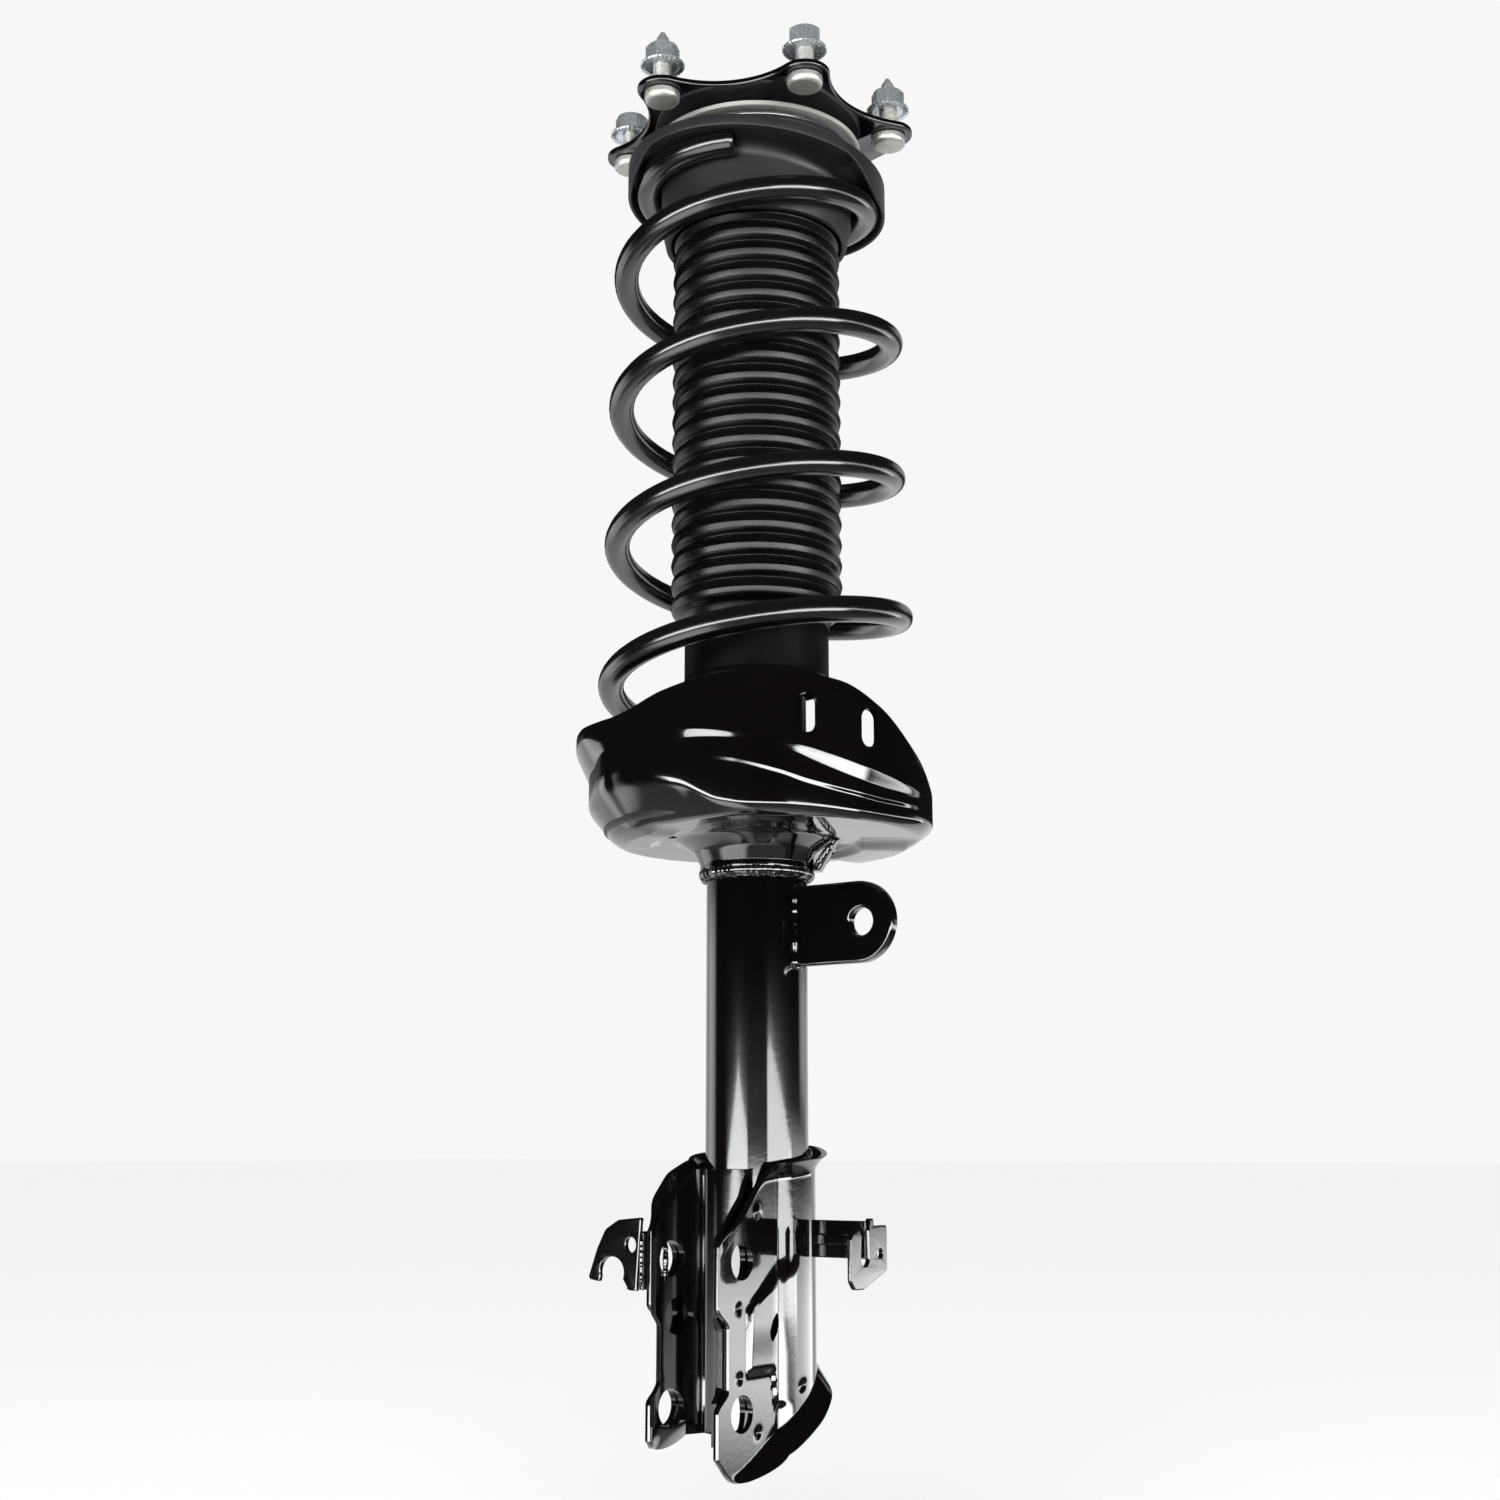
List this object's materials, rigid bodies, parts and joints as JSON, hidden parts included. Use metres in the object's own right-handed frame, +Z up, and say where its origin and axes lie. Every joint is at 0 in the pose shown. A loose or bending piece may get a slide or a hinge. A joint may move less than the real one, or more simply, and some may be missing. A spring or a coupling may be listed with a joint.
{
  "type": "strut assembly",
  "caption": "Loaded front suspension strut: damper with coil spring, dust boot, lower spring pan, knuckle clevis, stabiliser link tab and a rubber top mount on a strut bearing.",
  "frame": {"origin": "centre of the top mount plate's upper face, on the strut axis", "axes": "+Z up the strut axis, the knuckle clevis opens towards -Y, the stabiliser link tab points to +X"},
  "size_m": [0.1796, 0.1792, 0.7251],
  "materials": {
    "black_enamel": "high gloss black enamel",
    "spring_enamel": "semi-gloss black powder coat",
    "seat_rubber": "satin moulded rubber",
    "boot_rubber": "matt moulded rubber",
    "zinc_plate": "bright zinc plate with a blue tint",
    "stud_steel": "dull grey zinc plate",
    "machined_steel": "machined steel",
    "rod_chrome": "hard chrome",
    "bearing_plastic": "light grey moulded plastic",
    "dark_plastic": "dark grey moulded plastic",
    "stop_foam": "ochre microcellular foam",
    "band_bronze": "bronze-filled bearing strip"
  },
  "bodies": {
    "top_mount": {"mount_plate": "black_enamel", "mount_cup": "black_enamel", "mount_bush": "seat_rubber", "bush_sleeve": "machined_steel", "rebound_washer": "zinc_plate", "rod_nut": "zinc_plate", "mount_stud_1": "stud_steel", "mount_stud_2": "stud_steel", "mount_stud_3": "stud_steel", "mount_stud_4": "stud_steel", "mount_stud_5": "stud_steel", "stud_nut_1": "zinc_plate", "stud_nut_2": "zinc_plate", "stud_nut_3": "zinc_plate", "stud_nut_4": "zinc_plate", "stud_nut_5": "zinc_plate", "bearing_upper_case": "bearing_plastic", "bump_stop_cup": "black_enamel", "bump_stop": "stop_foam", "piston_rod": "rod_chrome", "rebound_stop": "machined_steel", "compression_shims": "machined_steel", "piston": "machined_steel", "piston_band": "band_bronze", "rebound_shims": "machined_steel", "piston_nut": "zinc_plate"},
    "bearing_cage_ring": {"bearing_cage": "machined_steel"},
    "spring_carrier": {"bearing_lower_race": "dark_plastic", "upper_spring_seat": "black_enamel", "upper_spring_isolator": "seat_rubber", "dust_boot": "boot_rubber"},
    "strut_body": {"strut_tube": "black_enamel", "inner_cylinder": "machined_steel", "base_valve": "machined_steel", "base_cap": "black_enamel", "rod_guide": "machined_steel", "rod_seal": "seat_rubber", "striker_cap": "dark_plastic", "lower_spring_seat": "black_enamel", "seat_gusset": "black_enamel", "lower_spring_pad": "seat_rubber", "coil_spring": "spring_enamel", "stabiliser_link_tab": "black_enamel", "knuckle_bracket": "black_enamel", "bracket_reinforcement": "black_enamel", "brake_hose_bracket": "black_enamel", "sensor_cable_bracket": "black_enamel"}
  },
  "joints": [
    {"name": "bearing_turn", "type": "hinge", "parent": "top_mount", "child": "spring_carrier", "pos_m": [0, 0, -0.013], "axis": [0, 0, 1], "range_deg": [-40, 40]},
    {"name": "cage_turn", "type": "hinge", "parent": "top_mount", "child": "bearing_cage_ring", "pos_m": [0, 0, -0.013], "axis": [0, 0, 1], "range_deg": [-20, 20]},
    {"name": "damper_stroke", "type": "slide", "parent": "spring_carrier", "child": "strut_body", "axis": [0, 0, 1], "range_m": [0, 0.15], "stiffness_N_per_m": 28000, "springref_m": -0.05, "deforming": ["coil_spring", "dust_boot", "bump_stop"]}
  ],
  "couplings": [
    {"joint": "cage_turn", "follows": "bearing_turn", "ratio": 0.5}
  ]
}
